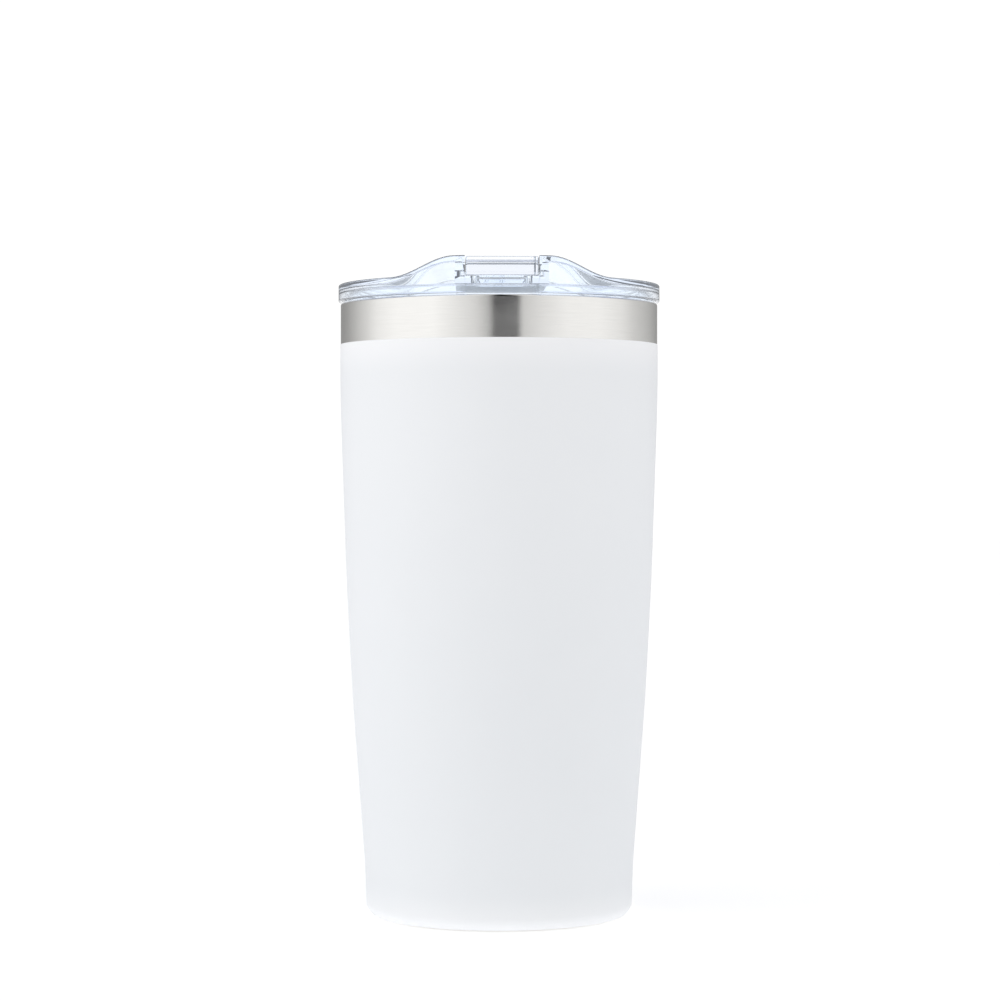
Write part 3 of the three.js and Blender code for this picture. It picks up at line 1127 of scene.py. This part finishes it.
@dataclass
class Lid:
    """The clear lid: flange, two S-curved shoulders, channel and skirt."""

    seat: float
    flange_radius: float
    bore_radius: float
    flange_height: float = 4.7
    flange_rounding: float = 0.5
    rim_rounding: float = 0.45
    plate_underside: float = 2.7
    shoulder_wall: float = 1.2
    hump_rise: float = 5.1
    hump_top_half: float = 12.5
    hump_run: float = 17.0
    skirt_clearance: float = 0.6
    skirt_wall: float = 1.9
    skirt_depth: float = 10.4
    relief_depth: float = 2.4
    relief_width: float = 1.5
    groove_top: float = -4.0
    groove_height: float = 3.4
    groove_depth: float = 1.0
    channel_half: float = 9.75
    channel_floor: float = 4.4
    channel_wall: float = 2.0
    spout_recess: float = 0.9
    undercut_half: float = 10.5
    undercut_front: float = -36.6
    undercut_back: float = 10.0
    undercut_height: float = 1.8
    hole_half: float = 7.5
    hole_front: float = -36.7
    hole_length: float = 9.0
    hole_corner: float = 3.0
    vent_radius: float = 1.5
    vent_centre: float = 32.1
    edge: float = 0.1
    pillar: float = 0.8
    skirt_chamfer: float = 0.5
    relief_fillet: float = 0.4
    bore_fillet: float = 0.8
    hollow_inset: float = 0.6
    hollow_fillet: float = 0.4
    channel_fillet: float = 0.35
    undercut_corner: float = 0.3
    vent_steps: int = 48
    spout_overlap: float = 0.2
    gasket_gap: float = 0.1
    fin_depth: float = 0.45
    fin_root_half: float = 0.6
    fin_tip: float = 0.25
    wall_reach: float = 0.05
    end_reach: float = 1.6
    face_reach: float = 0.2
    overcut: float = 1.0

    def rise(self, x: float) -> float:
        """Give the height of the shoulders above the flange.

        Args:
            x: Distance from the lid's middle plane in mm.

        Returns:
            The height in mm.
        """
        along = min(max((abs(x) - self.hump_top_half) / self.hump_run, 0.0), 1.0)
        return self.hump_rise * (1 + math.cos(math.pi * along)) / 2

    def lift(self, bm: bmesh.types.BMesh, above: float) -> bmesh.types.BMesh:
        """Raise the upper part of a turned shape by the shoulders' curve.

        Args:
            bm: Mesh in metres, in the lid's own frame.
            above: Height in mm from which vertices are raised.

        Returns:
            The same mesh.
        """
        for vert in bm.verts:
            if vert.co.z > above * MM - WELD:
                vert.co.z += self.rise(vert.co.x / MM) * MM
        return bm

    def rings(self, outer: float, height: float, step: float = 1.3) -> list[Point]:
        """Lay rings over a flat top, from near its edge to the axis.

        Args:
            outer: Radius of the edge in mm.
            height: Height of the top in mm.
            step: Largest gap between rings in mm.

        Returns:
            The points from the outside in.
        """
        count = math.ceil(outer / step)
        return [(outer * (1 - i / count), height) for i in range(1, count + 1)]

    def blank(self) -> bmesh.types.BMesh:
        """Turn the solid lid with its skirt, grooves and rounded rim, then raise the shoulders."""
        skirt = self.bore_radius - self.skirt_clearance
        groove = skirt - self.groove_depth
        low = self.groove_top - self.groove_height
        relief = skirt + self.relief_width
        flange = self.flange_radius
        lower = self.flange_rounding
        upper = self.rim_rounding
        top = self.flange_height
        chamfer = self.skirt_chamfer
        fillet = self.relief_fillet
        profile = [
            (0.0, -self.skirt_depth),
            (skirt - chamfer, -self.skirt_depth),
            (skirt, chamfer - self.skirt_depth),
            (skirt, low),
            (groove, low),
            (groove, self.groove_top),
            (skirt, self.groove_top),
            *arc((skirt + fillet, self.relief_depth - fillet), fillet, 180, 90, 4),
            *arc((relief - fillet, self.relief_depth - fillet), fillet, 90, 0, 4),
            (relief, 0.0),
            *arc((flange - lower, lower), lower, -90, 0, 6),
            *arc((flange - upper, top - upper), upper, 0, 90, 8),
            *self.rings(flange - upper, top),
        ]
        return self.lift(spun(profile, closed=False), top - upper)

    def bore(self) -> bmesh.types.BMesh:
        """Turn the space inside the skirt, up to the underside of the plate.

        It is turned by half a facet, so that its edges never meet those of the hollows exactly.
        """
        radius = self.bore_radius - self.skirt_clearance - self.skirt_wall
        top = self.plate_underside
        low = -self.skirt_depth - self.overcut
        fillet = self.bore_fillet
        corner = arc((radius - fillet, top - fillet), fillet, 0, 90, 5)
        profile = [(0.0, low), (radius, low), *corner, (0.0, top)]
        bm = spun(profile, closed=False)
        half_facet = Matrix.Rotation(math.pi / ROUND_STEPS, 3, "Z")
        bmesh.ops.rotate(bm, verts=bm.verts[:], cent=(0, 0, 0), matrix=half_facet)
        return bm

    def shoulder_hollow(self, side: int) -> bmesh.types.BMesh:
        """Turn the hollow under one shoulder.

        Args:
            side: 1 for +X, -1 for -X.

        Returns:
            The cutter.
        """
        radius = self.bore_radius - self.skirt_clearance - self.skirt_wall - self.hollow_inset
        top = self.flange_height - self.shoulder_wall
        fillet = self.hollow_fillet
        profile = [
            (0.0, -self.overcut),
            (radius, -self.overcut),
            *arc((radius - fillet, top - fillet), fillet, 0, 90, 5),
            *self.rings(radius - fillet, top),
        ]
        bm = self.lift(spun(profile, closed=False), top - fillet)
        inner = (self.channel_half + self.channel_wall) * side * MM
        bmesh.ops.bisect_plane(
            bm,
            geom=[*bm.verts, *bm.edges, *bm.faces],
            dist=WELD / 10,
            plane_co=(inner, 0, 0),
            plane_no=(side, 0, 0),
            clear_inner=True,
        )
        bmesh.ops.holes_fill(bm, edges=[edge for edge in bm.edges if edge.is_boundary])
        return settle(bm)

    def channel(self) -> bmesh.types.BMesh:
        """Pull the channel's section along the lid, with a rounded floor and flared top edges."""
        half = self.channel_half
        floor = self.channel_floor
        top = self.flange_height + self.hump_rise
        inner = self.channel_fillet
        flare = self.edge
        right = [
            *arc((half - inner, floor + inner), inner, -90, 0, 4),
            *reversed(arc((half + flare, top - flare), flare, 90, 180, 4)),
        ]
        right.append((half + flare, top + self.overcut))
        left = [(-x, z) for x, z in reversed(right)]
        reach = self.flange_radius + self.overcut
        return prism([*right, *left], -reach, 2 * reach)

    def undercut(self) -> bmesh.types.BMesh:
        """Make the slot in the channel's walls that keeps the slider down."""
        low = Vector((-self.undercut_half, self.undercut_front, self.channel_floor))
        high = Vector((self.undercut_half, self.undercut_back, self.channel_floor + self.undercut_height))
        return block(low, high, self.undercut_corner, 0.0)

    def holes(self) -> list[bmesh.types.BMesh]:
        """Make the cutters of the drink hole and the vent."""
        low = self.plate_underside - self.overcut
        high = self.channel_floor + self.overcut
        drink = block(
            Vector((-self.hole_half, self.hole_front, low)),
            Vector((self.hole_half, self.hole_front + self.hole_length, high)),
            self.hole_corner,
            0.0,
        )
        radius = self.vent_radius
        vent = spun([(0.0, low), (radius, low), (radius, high), (0.0, high)], False, self.vent_steps)
        bmesh.ops.translate(vent, verts=vent.verts[:], vec=(0, self.vent_centre * MM, 0))
        return [drink, vent]

    def spout(self, end: int) -> bmesh.types.BMesh:
        """Make the cutter that sets the flange's face back at one end of the channel.

        Args:
            end: 1 for +Y, -1 for -Y.

        Returns:
            The cutter.
        """
        face = self.flange_radius - self.spout_recess
        reach = self.flange_radius + self.overcut
        turn = math.degrees(math.asin(self.channel_half / face))
        front = arc((0.0, 0.0), face, 90 - turn, 90 + turn, 12)
        plan = [(self.channel_half, reach), *front, (-self.channel_half, reach)]
        bm = bmesh.new()
        verts = [bm.verts.new((x * MM, end * y * MM, -self.overcut * MM)) for x, y in plan]
        pulled = bmesh.ops.extrude_face_region(bm, geom=[bm.faces.new(verts)])
        moved = [item for item in pulled["geom"] if isinstance(item, bmesh.types.BMVert)]
        height = self.channel_floor + self.overcut + self.spout_overlap
        bmesh.ops.translate(bm, verts=moved, vec=(0, 0, height * MM))
        return settle(bm)

    def is_wall_end(self, edge: bmesh.types.BMEdge) -> bool:
        """Say whether an edge is where a channel wall meets the lid's outer face."""
        middle = (edge.verts[0].co + edge.verts[1].co) / (2 * MM)
        near_wall = abs(abs(middle.x) - self.channel_half) < self.wall_reach
        near_end = abs(middle.y) > self.flange_radius - self.end_reach
        near_face = middle.xy.length > self.flange_radius - self.face_reach
        return is_upright(edge) and near_wall and near_end and near_face

    def moulding(self) -> bpy.types.Object:
        """Carve the lid out of its blank.

        Returns:
            The lid.
        """
        lid = as_object(self.blank(), "lid_moulding")
        cutters = [
            self.bore(),
            self.shoulder_hollow(1),
            self.shoulder_hollow(-1),
            self.channel(),
            self.undercut(),
            *self.holes(),
            self.spout(1),
            self.spout(-1),
        ]
        carve(lid, cutters, "DIFFERENCE")
        round_where(lid, self.is_wall_end, self.pillar, 6)
        lid.data.transform(Matrix.Translation((0, 0, self.seat * MM)))
        return lid

    def gasket(self) -> bpy.types.Object:
        """Turn the silicone ring with two soft fins.

        Returns:
            The ring.
        """
        low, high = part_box("lid_gasket")
        tip = high[0] / MM
        inner = self.bore_radius - self.skirt_clearance - self.groove_depth + self.gasket_gap
        bottom, top = low[2] / MM, high[2] / MM
        root = tip - self.fin_depth
        half, round_tip = self.fin_root_half, self.fin_tip
        pitch = (top - bottom) / 2
        fins = []
        for i in range(2):
            middle = bottom + pitch * (i + 0.5)
            nose = arc((tip - round_tip, middle), round_tip, -90, 90, 6)
            fins += [(root, middle - half), *nose, (root, middle + half)]
        profile = [(inner, bottom), (root, bottom), *fins, (root, top), (inner, top)]
        return as_object(spun(profile), "seal_ring")

    def build(self) -> list[bpy.types.Object]:
        """Build, dress and bind the lid's pieces.

        Returns:
            The pieces.
        """
        return [
            bind(self.moulding(), "lid_body", LID_PLASTIC, "lid"),
            bind(self.gasket(), "lid_gasket", SILICONE, "lid"),
        ]


@dataclass
class Slider:
    """The clear block that slides over the drink hole."""

    low: Vector
    high: Vector
    tongue_proud: float = 0.7
    tongue_height: float = 1.2
    tongue_length: float = 28.0
    tongue_setback: float = 4.6
    corner: float = 0.7
    edge: float = 0.25
    thumb_radius: float = 22.0
    thumb_depth: float = 0.35
    rib_length: float = 12.0
    overcut: float = 1.0
    thumb_from_front: float = 27.0
    ribs: int = 3
    rib_pitch: float = 2.2
    rib_thickness: float = 0.8
    rib_height: float = 0.2
    rib_edge: float = 0.15
    scoop_steps: int = 192
    tongue_corner: float = 0.4
    tongue_edge: float = 0.2

    def scoop(self) -> bmesh.types.BMesh:
        """Make the round cutter of the thumb dip, which crosses the whole block."""
        half = self.high.x + self.overcut
        radius = self.thumb_radius
        profile = [(0.0, -half), (radius, -half), (radius, half), (0.0, half)]
        bm = spun(profile, closed=False, steps=self.scoop_steps)
        on_side = Matrix.Rotation(math.pi / 2, 3, "Y")
        bmesh.ops.rotate(bm, verts=bm.verts[:], cent=(0, 0, 0), matrix=on_side)
        centre = Vector((0, self.low.y + self.thumb_from_front, self.high.z - self.thumb_depth + radius))
        bmesh.ops.translate(bm, verts=bm.verts[:], vec=centre * MM)
        return bm

    def rib(self, i: int) -> bmesh.types.BMesh:
        """Make one grip rib across the scoop.

        Args:
            i: Which rib, from the front.

        Returns:
            The rib.
        """
        y = self.low.y + self.thumb_from_front + (i - (self.ribs - 1) / 2) * self.rib_pitch
        z = self.high.z - self.thumb_depth - self.rib_height
        half = Vector((self.rib_length / 2, self.rib_thickness / 2, 0))
        low = Vector((0, y, z)) - half
        high = Vector((0, y, z + 2 * self.rib_height)) + half
        return block(low, high, 0.0, self.rib_edge)

    def build(self) -> list[bpy.types.Object]:
        """Build, dress and bind the slider.

        Returns:
            The slider in a list.
        """
        proud = Vector((self.tongue_proud, 0, 0))
        body = as_object(block(self.low + proud, self.high - proud, self.corner, self.edge), "slide_block")
        front = self.low.y + self.tongue_setback
        tongues = block(
            Vector((self.low.x, front, self.low.z)),
            Vector((self.high.x, front + self.tongue_length, self.low.z + self.tongue_height)),
            self.tongue_corner,
            self.tongue_edge,
        )
        carve(body, [tongues], "UNION")
        carve(body, [self.scoop()], "DIFFERENCE")
        carve(body, [self.rib(i) for i in range(self.ribs)], "UNION")
        return [bind(body, "slider", SLIDER_PLASTIC, "slider")]


# ---------------------------------------------------------------- studio


@dataclass
class Studio:
    """Camera, pale floor, soft surrounding light and a plain white background."""

    distance: float = 800.0
    turn: float = -1.1
    eye_height: float = 117.0
    lens: float = 104.6
    shift_x: float = 0.001
    shift_y: float = -0.011
    near_clip: float = 0.01
    sensor: float = 36.0
    floor_half: float = 6.0
    floor_glow: float = 0.62
    light_scale: float = 1.9
    fill_turn: float = -66.0
    fill_distance: float = 1000.0
    fill_height: float = 350.0
    fill_size: float = 600.0
    fill_power: float = 0.62
    side_light_end: float = 95.0
    back_light_start: float = 130.0
    background: float = 1.05
    warmth: tuple[float, float, float] = (1.0, 0.995, 0.985)

    def camera(self) -> None:
        """Place the level camera in front of the cup."""
        data = bpy.data.cameras.new("studio_camera")
        data.lens = self.lens
        data.sensor_width = self.sensor
        data.shift_x = self.shift_x
        data.shift_y = self.shift_y
        data.clip_start = self.near_clip
        data.dof.use_dof = False
        obj = bpy.data.objects.new("studio_camera", data)
        turn = math.radians(self.turn)
        reach = self.distance * MM
        obj.location = (reach * math.sin(turn), -reach * math.cos(turn), self.eye_height * MM)
        obj.rotation_euler = (math.pi / 2, 0, turn)
        bpy.context.scene.collection.objects.link(obj)
        bpy.context.scene.camera = obj

    def floor(self) -> None:
        """Lay the pale floor."""
        bm = bmesh.new()
        bmesh.ops.create_grid(bm, x_segments=8, y_segments=8, size=self.floor_half)
        obj = as_object(bm, "studio_floor")
        sheet = Sheet("pale_floor")
        mottle = sheet.noise(sheet.coords(), 30.0, 2.0)
        shader = sheet.add(
            "BsdfPrincipled",
            Base_Color=sheet.tint(mottle, (0.6, 0.6, 0.605), (0.62, 0.62, 0.625)),
            Roughness=0.8,
            Specular_IOR_Level=0.2,
            Emission_Color=(1.0, 1.0, 1.0, 1.0),
            Emission_Strength=self.floor_glow,
        )
        dress(obj, sheet.finish(shader))

    def fill(self) -> None:
        """Hang a soft panel on the left that lights the coat but is not mirrored in the steel."""
        data = bpy.data.lights.new("side_fill", "AREA")
        data.size = self.fill_size * MM
        data.energy = self.fill_power
        obj = bpy.data.objects.new("side_fill", data)
        turn = math.radians(self.fill_turn)
        reach = self.fill_distance
        place = Vector((reach * math.sin(turn), -reach * math.cos(turn), self.fill_height))
        obj.location = place * MM
        obj.rotation_euler = (-place).to_track_quat("-Z", "Y").to_euler()
        obj.visible_camera = False
        obj.visible_glossy = False
        obj.visible_transmission = False
        bpy.context.scene.collection.objects.link(obj)

    def surround(self) -> None:
        """Light the cup from all round, with a narrow dark gap where the camera stands.

        What is seen through the clear pieces is an even, paler surround, and the camera itself
        sees plain white.
        """
        world = bpy.data.worlds.new("studio_surround")
        bpy.context.scene.world = world
        world.use_nodes = True
        nodes, links = world.node_tree.nodes, world.node_tree.links
        nodes.clear()

        def calculate(operation: str, first: object, second: object) -> bpy.types.NodeSocket:
            """Add a Math node on outputs or numbers and return its output."""
            node = nodes.new("ShaderNodeMath")
            node.operation = operation
            for socket, value in zip(node.inputs, (first, second)):
                if isinstance(value, bpy.types.NodeSocket):
                    links.new(value, socket)
                else:
                    socket.default_value = value
            return node.outputs[0]

        def ramp(
            source: bpy.types.NodeSocket,
            levels: list,
            low: float,
            high: float,
        ) -> bpy.types.NodeSocket:
            """Look a brightness up by an angle.

            Args:
                source: Angle in radians.
                levels: Angle in degrees and colour of each stop.
                low: Lowest angle in degrees.
                high: Highest angle in degrees.

            Returns:
                The colour output.
            """
            share = calculate("SUBTRACT", source, math.radians(low))
            share = calculate("DIVIDE", share, math.radians(high - low))
            node = nodes.new("ShaderNodeValToRGB")
            stops = node.color_ramp.elements
            stops.remove(stops[-1])
            for i, (angle, colour) in enumerate(levels):
                place = (angle - low) / (high - low)
                stop = stops[0] if i == 0 else stops.new(place)
                stop.position = place
                stop.color = (*colour, 1.0)
            links.new(share, node.inputs[0])
            return node.outputs[0]

        coords = nodes.new("ShaderNodeTexCoord")
        parts = nodes.new("ShaderNodeSeparateXYZ")
        links.new(coords.outputs["Generated"], parts.inputs[0])
        x, y, z = parts.outputs
        around = calculate("ARCTAN2", x, calculate("MULTIPLY", y, -1.0))
        up = calculate("ARCSINE", z, 0.0)
        warm = [(angle, tuple(level * part for part in self.warmth)) for angle, level in AROUND_LEVELS]
        sides = ramp(around, warm, -180.0, 180.0)
        heights = ramp(up, UPWARD_LEVELS, -90.0, 90.0)
        behind = nodes.new("ShaderNodeMapRange")
        behind.inputs["From Min"].default_value = math.radians(self.side_light_end)
        behind.inputs["From Max"].default_value = math.radians(self.back_light_start)
        links.new(calculate("ABSOLUTE", around, 0.0), behind.inputs["Value"])
        both = nodes.new("ShaderNodeMix")
        both.data_type = "RGBA"
        both.blend_type = "MULTIPLY"
        links.new(behind.outputs[0], both.inputs[0])
        links.new(sides, both.inputs[6])
        links.new(heights, both.inputs[7])
        soft = nodes.new("ShaderNodeBackground")
        soft.inputs["Strength"].default_value = self.light_scale
        links.new(both.outputs[2], soft.inputs["Color"])
        plain = nodes.new("ShaderNodeBackground")
        plain.inputs["Strength"].default_value = self.background
        plain.inputs["Color"].default_value = (1.0, 1.0, 1.0, 1.0)
        through = nodes.new("ShaderNodeBackground")
        links.new(ramp(up, THROUGH_LEVELS, -90.0, 90.0), through.inputs["Color"])
        path = nodes.new("ShaderNodeLightPath")
        clear = nodes.new("ShaderNodeMixShader")
        links.new(path.outputs["Is Transmission Ray"], clear.inputs[0])
        links.new(soft.outputs[0], clear.inputs[1])
        links.new(through.outputs[0], clear.inputs[2])
        blend = nodes.new("ShaderNodeMixShader")
        links.new(path.outputs["Is Camera Ray"], blend.inputs[0])
        links.new(clear.outputs[0], blend.inputs[1])
        links.new(plain.outputs[0], blend.inputs[2])
        output = nodes.new("ShaderNodeOutputWorld")
        links.new(blend.outputs[0], output.inputs["Surface"])

    def build(self) -> None:
        """Set up everything round the object."""
        self.camera()
        self.floor()
        self.fill()
        self.surround()
        bpy.context.scene.view_settings.view_transform = "Standard"


# Brightness of the surrounding light by the angle from the camera's side, in degrees towards
# +X, as a share of the scale.
AROUND_LEVELS = [
    (-180.0, 0.17),
    (-157.0, 0.17),
    (-143.0, 0.21),
    (-131.0, 0.27),
    (-113.0, 0.4),
    (-99.0, 0.54),
    (-80.0, 0.62),
    (-49.0, 0.62),
    (-31.0, 0.5),
    (-17.5, 0.4),
    (-8.7, 0.25),
    (-4.0, 0.0),
    (12.3, 0.0),
    (15.5, 0.34),
    (31.0, 0.46),
    (49.0, 0.56),
    (75.0, 0.57),
    (99.0, 0.48),
    (113.0, 0.37),
    (131.0, 0.3),
    (157.0, 0.19),
    (180.0, 0.17),
]

# Its colour by the angle above the level, in degrees.
UPWARD_LEVELS = [
    (-90.0, (1.0, 1.0, 1.0)),
    (18.0, (1.0, 1.0, 1.0)),
    (30.0, (0.4, 0.47, 0.66)),
    (55.0, (0.4, 0.47, 0.66)),
    (70.0, (1.5, 1.5, 1.5)),
    (90.0, (1.5, 1.5, 1.5)),
]

# What is seen through the clear pieces, by the same angle.
THROUGH_LEVELS = [
    (-90.0, (0.94, 0.955, 0.99)),
    (8.0, (0.94, 0.955, 0.99)),
    (28.0, (0.85, 0.88, 0.98)),
    (50.0, (0.42, 0.52, 0.82)),
    (60.0, (0.82, 0.87, 0.95)),
    (90.0, (1.0, 1.0, 1.0)),
]


def dress_hidden_nodes() -> None:
    """Give the nodes inside the vacuum space and in the base their finishes."""
    for node, finish in {
        "radiation_foil": FOIL,
        "getter_pellet": PELLET,
        "getter_clip": STRAP_STEEL,
        "vacuum_seal": BEAD,
    }.items():
        dress(bpy.data.objects[node], material_of(finish))
        log.info("%s keeps its packed shape", node)


def main() -> None:
    """Build the pieces in order."""
    logging.basicConfig(level=logging.INFO, format="%(name)s: %(message)s")
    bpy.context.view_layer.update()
    shell_low, shell_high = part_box("outer_shell")
    lid_low, lid_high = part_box("lid_body")
    slider_low, slider_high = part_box("slider")

    cup = Cup(top=shell_high[2] / MM, mouth_radius=shell_high[0] / MM)
    cup.build()

    lid = Lid(
        seat=lid_low[2] / MM + Lid.skirt_depth,
        flange_radius=lid_high[0] / MM,
        bore_radius=cup.mouth_radius - cup.liner_mouth_inset - cup.liner_wall,
    )
    lid.build()
    Slider(low=Vector(slider_low) / MM, high=Vector(slider_high) / MM).build()
    dress_hidden_nodes()
    Studio().build()


if __name__ == "__main__":
    main()
